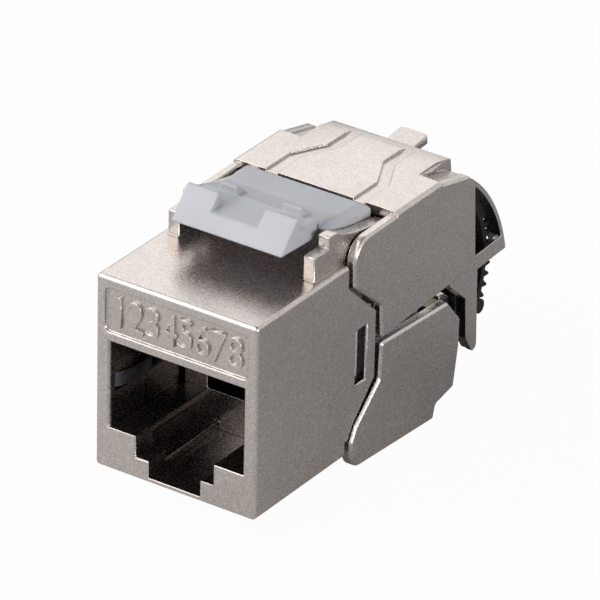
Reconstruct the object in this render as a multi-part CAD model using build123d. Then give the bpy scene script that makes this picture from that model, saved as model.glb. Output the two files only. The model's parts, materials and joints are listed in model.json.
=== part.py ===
from build123d import *
import math
import os

os.makedirs("parts", exist_ok=True)

# Overall sizes in millimetres. X is across, Y runs from the front face to the rear, Z is up.
WIDTH = 14.5
HEIGHT = 16.25
FRONT_LENGTH = 11.9
MID_Z = HEIGHT / 2
EDGE_RADIUS = 0.35

# The plug port in the front face
PORT_WIDTH = 12.0
PORT_FLOOR = 3.6
PORT_ROOF = 10.9
PORT_LIP = 2.3
PORT_STOP_Y = 9.3
KEY_WIDTH = 7.1
KEY_FLOOR = 1.85
TAB_WIDTH = 4.7
TAB_FLOOR = 0.45
MOUTH_CHAMFER = 0.22
SPRING_SLOT = (0.85, 7.6, 6.3, 7.75)
SPRING_SLOT_DEPTH = 0.8

# The seat for a panel cutout: a step above, a fixed lug below
PANEL_Y = 10.05
PANEL_THICK = 1.4
CUTOUT_TOP = HEIGHT + 2.05
CUTOUT_BOTTOM = -0.95
LUG_WIDTH = 9.0
LUG_DEPTH = 2.3

# Walls beside the latch, and the tongues between the doors
WALL_IN = 5.6
WALL_OUT = 6.6
WALL_END = 17.8
DECK_THICK = 1.8
DECK_END = 17.2
TONGUE_IN = 6.5
TONGUE_END = 15.67
DOOR_REBATE = 0.1

# Doors: hinge axes above and below the mid-plane, and how far each stands open in the rest pose
PIVOT_Y = 14.2
PIVOT_DZ = 7.9
PIN_RADIUS = 1.0
PIN_CLEAR = 0.05
AJAR = 3.3
DOOR_HALF = 7.5
DOOR_SKIN = 0.82
DOOR_PLATE = 0.9
DOOR_FRONT = 18.05
DOOR_GAP = 0.05
DOOR_CHAMFER = 0.18
CORNER_RADIUS = 1.9
CREST_HALF = 5.3
TOP_DROP = math.tan(math.radians(AJAR))

# Rear hood, its curved slide and the cable; angles are measured up from straight back
HOOD_CENTRE = (19.65, MID_Z - 2.475)
HOOD_RADIUS = 13.45
HOOD_SKIN = 0.35
HOOD_LOW = 8.3
HOOD_HIGH = 52.6
SLIDE_CENTRE = (23.03, MID_Z + 0.135)
RAIL_OUT = 8.75
RAIL_EDGE = 8.6
RAIL_ROOT = 8.15
RAIL_IN = 7.7
RAIL_HALF = 6.8
RAIL_WIDTH = 1.0
RAIL_LOW = -37.0
RAIL_HIGH = 44.0
TOOTH_START = -29.5
TOOTH_END = 20.0
TOOTH_PITCH = 6.0
LOBE_RADIUS = 0.6
SLIDE_CLEAR = 0.05
CABLE_RADIUS = 3.9
CLAMP_Y = 28.4
CLAMP_LENGTH = 1.8

# Latch: hinge axis, widths and the pegs that hold it
LATCH_Y = 16.3
LATCH_Z = HEIGHT + 0.65
SHOULDER_HALF = 5.8
TOOTH_HALF = 4.95
NOTCH_HALF = 2.1
PEG_RADIUS = 0.5
LATCH_CLEAR = 0.12

# Contacts, board and rear block
PITCH = 1.02
WIRE = 0.36
BOARD_HALF = 5.0
BOARD_THICK = 1.2
BOARD_START = 12.6
BOARD_END = 22.4
BLOCK_HALF = 6.4
BLOCK_CORE = 2.9
BLOCK_START = 12.4
BLOCK_END = 22.7
TOWER_HALF = 5.4
TOWER_TOP = 6.15
TOWER_START = 14.0
BLADE_X = 3.0
BLADE_ROWS = (18.9, 21.5)
BLADE_WIDTH = 2.2
BLADE_THICK = 0.4
BLADE_TOP = 5.75
CHANNEL = 1.7
FIT = 0.05

# The frame's origin: the middle of the panel cutout, in the plane of the panel's rear face
ORIGIN = (0, PANEL_Y, (CUTOUT_TOP + CUTOUT_BOTTOM) / 2)


def block(x0, x1, y0, y1, z0, z1):
    """A box between two corners."""
    return Pos((x0 + x1) / 2, (y0 + y1) / 2, (z0 + z1) / 2) * Box(x1 - x0, y1 - y0, z1 - z0)


def centred(half, y0, y1, z0, z1):
    """A box centred on the jack's middle plane."""
    return block(-half, half, y0, y1, z0, z1)


def outline(points):
    """A flat face from (y, z) points, each with an optional corner radius."""
    face = make_face(Polyline(*[(p[0], p[1]) for p in points], close=True).edges())
    for p in points:
        if len(p) == 3:
            corner = face.vertices().sort_by_distance(Vector(p[0], p[1], 0))[0]
            face = fillet(corner, p[2])
    return face


def side_prism(face, x0, x1):
    """A (y, z) face turned upright and extruded across the jack."""
    return extrude(Plane.YZ.offset(x0) * face, x1 - x0, dir=(1, 0, 0))


def both(shape):
    """A shape and its mirror image on the other side."""
    return shape + mirror(shape, Plane.YZ)


def upside_down(shape):
    """A shape mirrored about the mid-plane between the doors."""
    return mirror(shape, Plane.XY.offset(MID_Z))


def cross_pin(radius, y, z, x0, x1):
    """A round pin or drill across the jack."""
    return Pos((x0 + x1) / 2, y, z) * Rot(0, 90, 0) * Cylinder(radius, x1 - x0)


def turned(shape, y, z, angle):
    """A shape turned about a crosswise axis; a positive angle lifts its rear."""
    return shape.rotate(Axis((0, y, z), (1, 0, 0)), angle)


# Front housing


def latch_wall():
    """Stepped wall beside the latch, with the saddle behind its upper step."""
    top = HEIGHT
    edge = Polyline(
        (WALL_END, top + 1.25),
        (WALL_END, MID_Z + 5.3),
        (FRONT_LENGTH - 0.5, MID_Z + 5.3),
        (FRONT_LENGTH - 0.5, top - 0.5),
        (8.2, top - 0.5),
        (8.2, CUTOUT_TOP),
        (PANEL_Y, CUTOUT_TOP),
        (PANEL_Y, CUTOUT_TOP + 0.95),
        (11.1, CUTOUT_TOP + 0.9),
    )
    saddle = Spline(
        (11.1, CUTOUT_TOP + 0.9),
        (12.2, top + 2.45),
        (13.5, top + 2.05),
        (15.0, top + 1.75),
        (WALL_END, top + 1.25),
    )
    return side_prism(make_face(edge.edges() + saddle.edges()), WALL_IN, WALL_OUT)


def lower_wall():
    """Wall that carries the lower hinge bore."""
    low = MID_Z - 5.3
    wall = block(WALL_IN, WALL_OUT, FRONT_LENGTH - 0.5, DECK_END, 0, low)
    return wall + cross_pin(1.45, PIVOT_Y, MID_Z - PIVOT_DZ, WALL_IN, WALL_OUT)


def tongue():
    """Side tongue between the doors, with its window."""
    half = 2.8
    face = outline(
        [
            (FRONT_LENGTH - 0.5, MID_Z + 6.25),
            (FRONT_LENGTH, MID_Z + 6.25),
            (TONGUE_END, MID_Z + half, 0.3),
            (TONGUE_END, MID_Z - half, 0.3),
            (12.85, MID_Z - 5.75, 0.5),
            (12.2, MID_Z - 6.9),
            (FRONT_LENGTH - 0.5, MID_Z - 6.9),
        ]
    )
    plate = side_prism(face, TONGUE_IN, WIDTH / 2)
    return plate - block(TONGUE_IN - 1, WIDTH, 13.0, 14.45, MID_Z - 2.5, MID_Z + 2.1)


def lower_lug():
    """Fixed lug with the groove for the lower edge of a panel."""
    front = PANEL_Y - PANEL_THICK
    face = outline(
        [
            (6.4, 0.5),
            (6.4, -0.6),
            (7.6, -LUG_DEPTH, 0.3),
            (front, -LUG_DEPTH, 0.2),
            (front, CUTOUT_BOTTOM),
            (PANEL_Y, CUTOUT_BOTTOM),
            (PANEL_Y, -LUG_DEPTH),
            (FRONT_LENGTH - 0.2, -LUG_DEPTH, 0.4),
            (FRONT_LENGTH - 0.2, 0.5),
        ]
    )
    return side_prism(face, -LUG_WIDTH / 2, LUG_WIDTH / 2)


def port():
    """The stepped plug opening, wider behind its lip, with the spring slots."""
    half = PORT_WIDTH / 2
    hole = centred(half, -1, FRONT_LENGTH, PORT_FLOOR, PORT_ROOF)
    hole += centred(KEY_WIDTH / 2, -1, PORT_STOP_Y, KEY_FLOOR, PORT_FLOOR + 1)
    hole += centred(TAB_WIDTH / 2, -1, PORT_STOP_Y, TAB_FLOOR, KEY_FLOOR + 1)
    hole += centred(half - 0.4, PORT_LIP, PORT_STOP_Y, KEY_FLOOR - 0.8, PORT_FLOOR - 0.65)
    y0, y1, z0, z1 = SPRING_SLOT
    hole += centred(half + SPRING_SLOT_DEPTH, y0, y1, z0, z1)
    return hole


def mouth():
    """The lead-in bevel round the upper part of the port's mouth."""
    grow = MOUTH_CHAMFER
    mid = (PORT_FLOOR + PORT_ROOF) / 2
    tall = PORT_ROOF - PORT_FLOOR
    outer = Plane.XZ * Pos(0, mid) * Rectangle(PORT_WIDTH + 2 * grow, tall)
    inner = Plane.XZ.offset(-grow * 1.5) * Pos(0, mid) * Rectangle(PORT_WIDTH, tall)
    return loft([outer.face(), inner.face()])


def front_housing():
    """The die-cast shell."""
    half = WIDTH / 2
    body = centred(half, 0, FRONT_LENGTH, 0, HEIGHT)
    body = fillet(body.edges().filter_by(Axis.Y), EDGE_RADIUS)
    body = fillet(body.faces().sort_by(Axis.Y)[0].edges(), EDGE_RADIUS)
    label = Plane.XZ * Pos(0, 13.5) * RectangleRounded(12.9, 3.7, 0.45)
    body -= extrude(label.face(), 0.25, dir=(0, 1, 0))
    body += both(latch_wall() + lower_wall() + tongue())
    body += centred(WALL_IN + 0.1, FRONT_LENGTH - 0.5, DECK_END, HEIGHT - DECK_THICK, HEIGHT)
    body += centred(WALL_IN + 0.1, FRONT_LENGTH - 0.5, DECK_END, 0, DECK_THICK)
    body += lower_lug()
    body -= port() + mouth()
    body += both(block(KEY_WIDTH / 2, 5.7, PORT_STOP_Y, PORT_STOP_Y + 1, PORT_FLOOR - 0.1, PORT_FLOOR + 1.25))
    bay = PORT_STOP_Y + 1.6
    body -= centred(TONGUE_IN, bay, DECK_END + 1, MID_Z - BLOCK_CORE - 0.1, MID_Z + BLOCK_CORE + 0.1)
    body -= centred(WALL_IN, bay, DECK_END + 1, DECK_THICK, HEIGHT - DECK_THICK)
    body -= centred(5.5, PORT_LIP, bay + 1, PORT_ROOF - 0.1, PORT_ROOF + 2.15)
    for side in (-1, 1):
        x0, x1 = sorted((side * WALL_IN, side * (WALL_OUT + 0.1)))
        for z in (MID_Z - PIVOT_DZ, MID_Z + PIVOT_DZ):
            body -= cross_pin(PIN_RADIUS + PIN_CLEAR, PIVOT_Y, z, x0, x1)
        body -= cross_pin(PEG_RADIUS + PIN_CLEAR, LATCH_Y, LATCH_Z, x0, x1)
    return body


# Latch


def latch_skirt():
    """Side of the latch that hangs just inside the wall, a little below its saddle."""
    face = outline(
        [
            (11.0, LATCH_Z + 2.1),
            (13.35, LATCH_Z + 2.0),
            (16.9, LATCH_Z + 1.8),
            (17.1, LATCH_Z + 0.6),
            (15.0, LATCH_Z + 0.75),
            (13.5, LATCH_Z + 1.05),
            (12.2, LATCH_Z + 1.45),
            (11.2, LATCH_Z + 1.9),
        ]
    )
    return side_prism(face, TOOTH_HALF - 0.6, WALL_IN - LATCH_CLEAR)


def keystone_latch():
    """Sprung latch: two teeth, two stops, flared shoulders over the saddles and a root with pegs."""
    floor = HEIGHT + 3.6
    top = floor + 1.15
    face = outline(
        [
            (6.13, floor - 1.2, 0.12),
            (8.28, top, 0.1),
            (8.52, top),
            (8.68, floor),
            (10.7, floor, 0.5),
            (13.35, floor - 0.7, 0.8),
            (16.5, floor - 0.85, 0.7),
            (17.25, LATCH_Z + 1.3, 0.4),
            (17.3, LATCH_Z + 0.1),
            (LATCH_Y + 0.55, LATCH_Z - 0.1),
            (LATCH_Y - 0.55, LATCH_Z - 0.1),
            (15.2, floor - 1.8, 0.4),
            (13.8, floor - 1.55),
            (12.4, floor - 1.15),
            (11.0, floor - 0.85),
            (10.25, floor - 1.4, 0.2),
        ]
    )
    body = side_prism(face, -SHOULDER_HALF, SHOULDER_HALF) + both(latch_skirt())
    inside = WALL_IN - LATCH_CLEAR
    plan = make_face(
        Polyline(
            (0, 5),
            (TOOTH_HALF, 5),
            (TOOTH_HALF, 10.8),
            (inside, 11.8),
            (inside, 15.2),
            (SHOULDER_HALF, 15.6),
            (SHOULDER_HALF, 16.7),
            (SHOULDER_HALF - 0.5, 17.6),
            (0, 17.6),
            close=True,
        ).edges()
    )
    body = body & both(extrude(Plane.XY.offset(HEIGHT - 1) * plan, 8, dir=(0, 0, 1)))
    body -= both(block(inside, WALL_OUT, 14, 18, HEIGHT - 1, LATCH_Z + 1.5))
    slope = make_face(
        Polyline(
            (TOOTH_HALF, top),
            (TOOTH_HALF, LATCH_Z + 2.2),
            (SHOULDER_HALF, LATCH_Z + 1.55),
            (WALL_OUT, LATCH_Z + 1.55),
            (WALL_OUT, top),
            close=True,
        ).edges()
    )
    body -= both(extrude(Plane.XZ.offset(-10.9) * slope, 8, dir=(0, 1, 0)))
    body -= centred(NOTCH_HALF, 5, 8.9, floor, top + 1)
    stop = outline([(10.6, floor - 0.3), (10.6, floor + 0.65, 0.1), (10.85, floor + 0.65), (12.3, floor - 0.6)])
    body += both(side_prism(stop, NOTCH_HALF, NOTCH_HALF + 1.6))
    body += cross_pin(0.58, LATCH_Y, LATCH_Z, 0.3 - TOOTH_HALF, TOOTH_HALF - 0.3)
    return body + cross_pin(PEG_RADIUS, LATCH_Y, LATCH_Z, -WALL_OUT + 0.2, WALL_OUT - 0.2)


# Contacts, springs, board and rear block


def wire_x(number):
    """Where port contact 1 to 8 stands."""
    return (number - 4.5) * PITCH


def contact_carrier():
    """Comb in the roof of the port, one slot for each contact."""
    roof = PORT_ROOF + 2.05
    body = centred(5.4, PORT_LIP + 0.1, 12.2, PORT_ROOF, roof)
    body += centred(5.4, PORT_STOP_Y + 1.65, BLOCK_START - 0.3, PORT_FLOOR, PORT_ROOF)
    for number in range(1, 9):
        x = wire_x(number)
        body -= block(x - 0.28, x + 0.28, 2.9, 13, PORT_ROOF - 1, roof - 0.33)
    return body


def jack_contact(number):
    """Bent wire: tail through the board, run along the roof, bend and sloping spring leg."""
    run_z = PORT_ROOF + 2.05 - 0.33 - WIRE / 2
    slope = math.radians(20)
    bend = 0.8
    centre = (3.9, run_z - bend)
    low = (centre[0] - bend * math.sin(slope), centre[1] - bend * math.cos(slope))
    tip = (low[0] + 6.6 * math.cos(slope), low[1] - 6.6 * math.sin(slope))
    tail_y = 13.3
    path = Line((tail_y, MID_Z - 1.0), (tail_y, run_z - 0.4))
    path += RadiusArc((tail_y, run_z - 0.4), (tail_y - 0.4, run_z), -0.4)
    path += Line((tail_y - 0.4, run_z), (centre[0], run_z))
    path += ThreePointArc((centre[0], run_z), (centre[0] - bend, centre[1]), low)
    path += Line(low, tip)
    x = wire_x(number)
    return side_prism(trace(path, WIRE), x - WIRE / 2, x + WIRE / 2)


def shield_spring():
    """Leaf spring in the port's side slot, bowed into the port."""
    y0, y1, z0, z1 = SPRING_SLOT
    leaf = 0.18
    wall = PORT_WIDTH / 2 + SPRING_SLOT_DEPTH - leaf / 2
    path = Line((wall, y1 - 0.05), (wall, y1 - 1.2))
    path += ThreePointArc((wall, y1 - 1.2), (PORT_WIDTH / 2 - 0.3, 3.4), (PORT_WIDTH / 2 + 0.35, y0 + 0.35))
    face = trace(path, leaf)
    return extrude(Plane.XY.offset(z0 + 0.12) * face, z1 - z0 - 0.24, dir=(0, 0, 1))


def circuit_board():
    """Board with an eight-sided hole for the tail of each port contact."""
    board = centred(BOARD_HALF, BOARD_START, BOARD_END, MID_Z - BOARD_THICK / 2, MID_Z + BOARD_THICK / 2)
    hole = extrude(RegularPolygon(0.32, 8), BOARD_THICK, both=True)
    for number in range(1, 9):
        board -= Pos(wire_x(number), 13.3, MID_Z) * hole
    return board


def block_half():
    """Upper half of the rear block: core, tower, wire channels and blade pockets."""
    half = centred(BLOCK_HALF, BLOCK_START, BLOCK_END, MID_Z, MID_Z + BLOCK_CORE)
    half += centred(TOWER_HALF, TOWER_START, BLOCK_END, MID_Z, MID_Z + TOWER_TOP)
    half -= centred(4.6, BLOCK_START - 1, TOWER_START, MID_Z - 2, MID_Z + TOWER_TOP)
    half -= centred(BOARD_HALF + FIT, BLOCK_START - 1, BOARD_END + FIT, MID_Z - 1, MID_Z + BOARD_THICK / 2)
    for y in BLADE_ROWS:
        half -= centred(BLOCK_HALF, y - CHANNEL / 2, y + CHANNEL / 2, MID_Z + 3.4, MID_Z + TOWER_TOP + 1)
        half -= centred(0.35, y - 1.2, y + 1.2, MID_Z + BLOCK_CORE, MID_Z + TOWER_TOP + 1)
        for x in (-BLADE_X, BLADE_X):
            side = BLADE_THICK / 2 + FIT
            wide = BLADE_WIDTH / 2 + FIT
            half -= block(x - side, x + side, y - wide, y + wide, MID_Z, MID_Z + TOWER_TOP + 1)
    return half


def idc_block():
    """White block that holds the board and the eight blades."""
    half = block_half()
    return half + upside_down(half)


def idc_contact(x, y):
    """Forked blade with its wire slot and lead-in, standing on the board."""
    base = MID_Z + BOARD_THICK / 2
    top = MID_Z + BLADE_TOP
    wide = BLADE_WIDTH / 2
    slot = 0.18
    face = outline(
        [
            (y - wide, base),
            (y + wide, base),
            (y + wide, top - 0.3),
            (y + wide - 0.3, top),
            (y + slot + 0.35, top),
            (y + slot, top - 0.7),
            (y + slot, top - 2.4),
            (y - slot, top - 2.4),
            (y - slot, top - 0.7),
            (y - slot - 0.35, top),
            (y - wide + 0.3, top),
            (y - wide, top - 0.3),
        ]
    )
    return side_prism(face, x - BLADE_THICK / 2, x + BLADE_THICK / 2)


# Doors, drawn closed


def top_at(y):
    """Height of the upper door's flat top, which falls slightly to the rear."""
    return HEIGHT + 1.83 - (y - DOOR_FRONT) * TOP_DROP


def upper_side():
    """Side plate of the upper door, with the slide's groove in its inner face."""
    front = PIVOT_Y - CORNER_RADIUS
    low = MID_Z + DOOR_GAP
    face = outline(
        [
            (front, HEIGHT + 1.85, CORNER_RADIUS - 0.05),
            (24.2, HEIGHT + 1.25),
            (27.76, HEIGHT + 0.22, 0.3),
            (28.7, HEIGHT - 0.95, 0.2),
            (28.7, low),
            (TONGUE_END + DOOR_REBATE, low, 0.35),
            (TONGUE_END + DOOR_REBATE, MID_Z + 3.05, 0.4),
            (front, MID_Z + 6.25, 0.4),
        ]
    )
    plate = side_prism(face, DOOR_HALF - DOOR_SKIN, DOOR_HALF)
    plate = chamfer(plate.faces().sort_by(Axis.X)[-1].edges(), DOOR_CHAMFER)
    groove = sector(SLIDE_CENTRE, RAIL_IN - 0.25, RAIL_OUT + 0.25, 32, RAIL_HIGH + 18)
    return plate - side_prism(groove, 6, RAIL_HALF + SLIDE_CLEAR)


def hook_leg():
    """Leg below the upper door's plate, with a rebate that guides the slide."""
    low = MID_Z + DOOR_GAP + 0.4
    face = outline(
        [
            (25.0, low),
            (25.25, MID_Z - 0.2),
            (27.37, MID_Z - 2.3, 0.3),
            (27.37, MID_Z - 5.85, 0.3),
            (28.0, MID_Z - 7.0, 0.2),
            (28.25, MID_Z - 7.45, 0.2),
            (28.85, MID_Z - 7.4, 0.5),
            (29.04, MID_Z - 0.45),
            (29.04, low),
        ]
    )
    leg = side_prism(face, 6.35, DOOR_HALF - 0.15)
    return leg - block(0, RAIL_HALF + SLIDE_CLEAR, 28.15, 30, -1, MID_Z + 2)


def arc_point(centre, radius, angle):
    """A point on a circle about a (y, z) centre."""
    turn = math.radians(angle)
    return (centre[0] + radius * math.cos(turn), centre[1] + radius * math.sin(turn))


def sector(centre, r0, r1, a0, a1):
    """A ring sector as a (y, z) face."""
    edges = []
    for radius in (r0, r1):
        ends = [arc_point(centre, radius, angle) for angle in (a0, (a0 + a1) / 2, a1)]
        edges.append(ThreePointArc(*ends).edge())
    for angle in (a0, a1):
        edges.append(Line(arc_point(centre, r0, angle), arc_point(centre, r1, angle)).edge())
    return make_face(edges)


def hood_cheek():
    """D-shaped loop behind the side plate, open inside for the slide."""
    side = DOOR_HALF - 0.15
    inner = HOOD_RADIUS - HOOD_SKIN
    ring = side_prism(sector(HOOD_CENTRE, inner, HOOD_RADIUS, HOOD_LOW, 36), 6.0, side)
    roof = side_prism(sector(HOOD_CENTRE, inner, HOOD_RADIUS, 35, HOOD_HIGH), -0.1, side)
    low = HOOD_CENTRE[1] + HOOD_RADIUS * math.sin(math.radians(HOOD_LOW))
    tip = HOOD_CENTRE[0] + HOOD_RADIUS * math.cos(math.radians(HOOD_LOW))
    face = outline([(28.2, low), (tip, low, 0.35), (tip - 0.25, low + 1.3), (28.2, low + 1.3)])
    return ring + roof + side_prism(face, RAIL_HALF + SLIDE_CLEAR, side)


def channel_cut(y0, y1, y2, y3):
    """Shallow zigzag channel in the upper door's flat top."""
    points = [(4.5, y0), (4.5, y1), (3.0, y2), (3.0, y3), (1.95, y3), (1.95, y2), (3.45, y1), (3.45, y0)]
    face = make_face(Polyline(*points, close=True).edges())
    tool = extrude(face, 3, dir=(0, 0, 1))
    tool = tool.rotate(Axis((0, DOOR_FRONT, 0), (1, 0, 0)), -AJAR)
    return Pos(0, 0, top_at(DOOR_FRONT) - 0.18) * tool


def upper_shell():
    """Top plate with the crest, rear corner notches, shelves and rear wall."""
    rear = 26.55
    notch = 24.07
    plate = side_prism(
        outline(
            [
                (DOOR_FRONT, top_at(DOOR_FRONT)),
                (notch, top_at(notch)),
                (notch, top_at(notch) - DOOR_PLATE),
                (DOOR_FRONT, top_at(DOOR_FRONT) - DOOR_PLATE),
            ]
        ),
        -DOOR_HALF,
        DOOR_HALF,
    )
    long_edges = [e for e in plate.edges() if abs(e.center().X) > DOOR_HALF - 0.1 and e.length > 5]
    upper_edges = ShapeList(long_edges).sort_by(Axis.Z)[-2:]
    plate = chamfer(upper_edges, 0.24)
    crest = side_prism(
        outline(
            [
                (notch - 0.5, top_at(notch - 0.5)),
                (rear, top_at(rear)),
                (28.45, HEIGHT + 0.78, 0.25),
                (28.55, HEIGHT - 0.5),
                (27.75, HEIGHT - 0.5),
                (27.4, HEIGHT + 0.1),
                (26.6, top_at(rear) - DOOR_PLATE),
                (notch - 0.5, top_at(notch) - DOOR_PLATE),
            ]
        ),
        -CREST_HALF,
        CREST_HALF,
    )
    shelf = side_prism(
        outline(
            [
                (notch - 0.5, HEIGHT + 1.1),
                (notch + 0.2, HEIGHT + 1.1),
                arc_point(HOOD_CENTRE, HOOD_RADIUS, HOOD_HIGH),
                arc_point(HOOD_CENTRE, HOOD_RADIUS - HOOD_SKIN, HOOD_HIGH - 3),
                (26.6, HEIGHT - 0.25),
                (notch - 0.5, HEIGHT + 0.2),
            ]
        ),
        -DOOR_HALF + 0.3,
        DOOR_HALF - 0.3,
    )
    wall = centred(DOOR_HALF - DOOR_SKIN + 0.05, 24.4, 25.3, MID_Z + 0.4, HEIGHT + 0.8)
    wall -= Pos(0, 25, MID_Z) * Rot(90, 0, 0) * Cylinder(CABLE_RADIUS + 0.1, 6)
    for side in (-1, 1):
        cut = channel_cut(DOOR_FRONT - 1, 21.35, 24.35, 27.5)
        plate -= cut if side == 1 else mirror(cut, Plane.YZ)
        crest -= cut if side == 1 else mirror(cut, Plane.YZ)
    return plate + crest + shelf + wall


def tie_tongue():
    """Flat tongue on the crest, for a cable tie."""
    z = HEIGHT - 0.2
    face = outline([(28.0, z - 0.3), (28.0, z + 0.05), (31.6, z + 0.3), (31.6, z - 0.35)])
    plan = Pos(0, 29.8) * RectangleRounded(2.66, 3.6, 0.5)
    return side_prism(face, -1.33, 1.33) & extrude(Plane.XY.offset(z - 2) * plan, 4, dir=(0, 0, 1))


def upper_door():
    """Upper door with its hinge pins, drawn closed and turned to the rest pose."""
    z = MID_Z + PIVOT_DZ
    door = upper_shell() + both(upper_side() + hook_leg() + hood_cheek())
    door += tie_tongue()
    door += both(cross_pin(PIN_RADIUS, PIVOT_Y, z, WALL_IN + 0.15, DOOR_HALF - DOOR_SKIN / 2))
    return turned(door, PIVOT_Y, z, AJAR)


def lower_side():
    """Side plate of the lower door."""
    front = PIVOT_Y - CORNER_RADIUS + 0.05
    floor = MID_Z - PIVOT_DZ - 1.7
    high = MID_Z - DOOR_GAP
    face = outline(
        [
            (front, floor, 1.6),
            (23.85, floor, 0.3),
            (24.1, floor + 1.15, 0.3),
            (26.5, floor + 1.8, 0.4),
            (26.9, MID_Z - 4.4, 1.0),
            (26.8, MID_Z - 2.0, 0.3),
            (24.9, high, 0.5),
            (TONGUE_END + DOOR_REBATE, high, 0.3),
            (TONGUE_END + DOOR_REBATE, MID_Z - 3.1, 0.4),
            (12.9, MID_Z - 6.0, 0.5),
            (front, MID_Z - 7.2, 0.4),
        ]
    )
    plate = side_prism(face, DOOR_HALF - DOOR_SKIN, DOOR_HALF)
    return chamfer(plate.faces().sort_by(Axis.X)[-1].edges(), DOOR_CHAMFER)


def lower_shell():
    """Bottom plate, raised rear floor and rear wall of the lower door."""
    floor = MID_Z - PIVOT_DZ - 1.7
    inner = DOOR_HALF - DOOR_SKIN + 0.05
    plate = centred(DOOR_HALF, DOOR_FRONT, 23.7, floor, floor + DOOR_PLATE)
    long_edges = [e for e in plate.edges() if abs(e.center().X) > DOOR_HALF - 0.1 and e.length > 5]
    plate = chamfer(ShapeList(long_edges).sort_by(Axis.Z)[:2], 0.24)
    ramp = side_prism(
        outline(
            [
                (23.0, floor + 0.1),
                (23.7, floor + 0.1),
                (24.05, floor + 1.25),
                (26.3, floor + 1.9),
                (26.3, floor + 2.8),
                (23.5, floor + 2.0),
                (23.0, floor + 0.8),
            ]
        ),
        -inner,
        inner,
    )
    wall = centred(inner, 25.7, 26.6, floor + 2.0, MID_Z - 0.35)
    wall += centred(6.1, 26.5, 27.1, floor + 2.0, MID_Z - 0.7)
    wall -= Pos(0, 26, MID_Z) * Rot(90, 0, 0) * Cylinder(CABLE_RADIUS + 0.1, 6)
    wall -= both(block(6.1, inner + 1, 25, 27, MID_Z - 2.3, MID_Z))
    return plate + ramp + wall


def lower_door():
    """Lower door with its hinge pins, drawn closed and turned to the rest pose."""
    z = MID_Z - PIVOT_DZ
    door = lower_shell() + both(lower_side())
    door += both(cross_pin(PIN_RADIUS, PIVOT_Y, z, WALL_IN + 0.15, DOOR_HALF - DOOR_SKIN / 2))
    return turned(door, PIVOT_Y, z, -AJAR)


def wire_presser(back_front, back_rear):
    """Pad behind a door's plate, with a rib over each wire channel and gaps for the blades."""
    y0 = DOOR_FRONT + 0.3
    y1 = 22.9
    face = outline([(y0, MID_Z + 6.9), (y0, back_front), (y1, back_rear), (y1, MID_Z + 6.9)])
    pad = side_prism(face, -TOWER_HALF, TOWER_HALF)
    for y in BLADE_ROWS:
        rib = centred(TOWER_HALF - 0.3, y - 0.7, y + 0.1, MID_Z + 5.5, MID_Z + 7.2)
        for x in (-BLADE_X, 0, BLADE_X):
            rib -= block(x - 0.6, x + 0.6, y - 1, y + 1, MID_Z, MID_Z + 6.9)
        pad += rib
    return pad


def upper_wire_presser():
    """Pad in the upper door."""
    seat = -DOOR_PLATE
    pad = wire_presser(top_at(DOOR_FRONT + 0.3) + seat, top_at(22.9) + seat)
    return turned(pad, PIVOT_Y, MID_Z + PIVOT_DZ, AJAR)


def lower_wire_presser():
    """Pad in the lower door."""
    back = HEIGHT - (MID_Z - PIVOT_DZ - 1.7 + DOOR_PLATE)
    return turned(upside_down(wire_presser(back, back)), PIVOT_Y, MID_Z - PIVOT_DZ, -AJAR)


def cable_shield_spring():
    """Brass half-ring in the lower door, with flanges under the gap between the doors."""
    radius = CABLE_RADIUS + 0.5
    high = MID_Z - 0.6
    path = Line((-6.3, high), (-radius, high))
    path += ThreePointArc((-radius, high), (0, high - radius), (radius, high))
    path += Line((radius, high), (6.3, high))
    face = trace(path, 0.22)
    spring = extrude(Plane.XZ.offset(-23.9) * face, 1.75, dir=(0, 1, 0))
    return turned(spring, PIVOT_Y, MID_Z - PIVOT_DZ, -AJAR)


# Cable clamp


def toothed_rail():
    """Curved rail with saw teeth on its outer edge and a round lobe at its lower end."""
    face = sector(SLIDE_CENTRE, RAIL_IN, RAIL_ROOT, RAIL_LOW, RAIL_HIGH)
    face += sector(SLIDE_CENTRE, RAIL_ROOT - 0.2, RAIL_EDGE, TOOTH_END, RAIL_HIGH)
    count = int((TOOTH_END - TOOTH_START) / TOOTH_PITCH)
    for step in range(count):
        angle = TOOTH_START + step * TOOTH_PITCH
        tooth = Polyline(
            arc_point(SLIDE_CENTRE, RAIL_ROOT - 0.2, angle),
            arc_point(SLIDE_CENTRE, RAIL_OUT, angle + 1.2),
            arc_point(SLIDE_CENTRE, RAIL_OUT, angle + 2.2),
            arc_point(SLIDE_CENTRE, RAIL_ROOT - 0.2, angle + 5.1),
            close=True,
        )
        face += make_face(tooth.edges())
    lobe = arc_point(SLIDE_CENTRE, RAIL_OUT + 0.5 - LOBE_RADIUS, RAIL_LOW + 3.5)
    rail = side_prism(face, RAIL_HALF - RAIL_WIDTH, RAIL_HALF)
    return rail + cross_pin(LOBE_RADIUS, lobe[0], lobe[1], RAIL_HALF - RAIL_WIDTH, RAIL_HALF)


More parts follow.
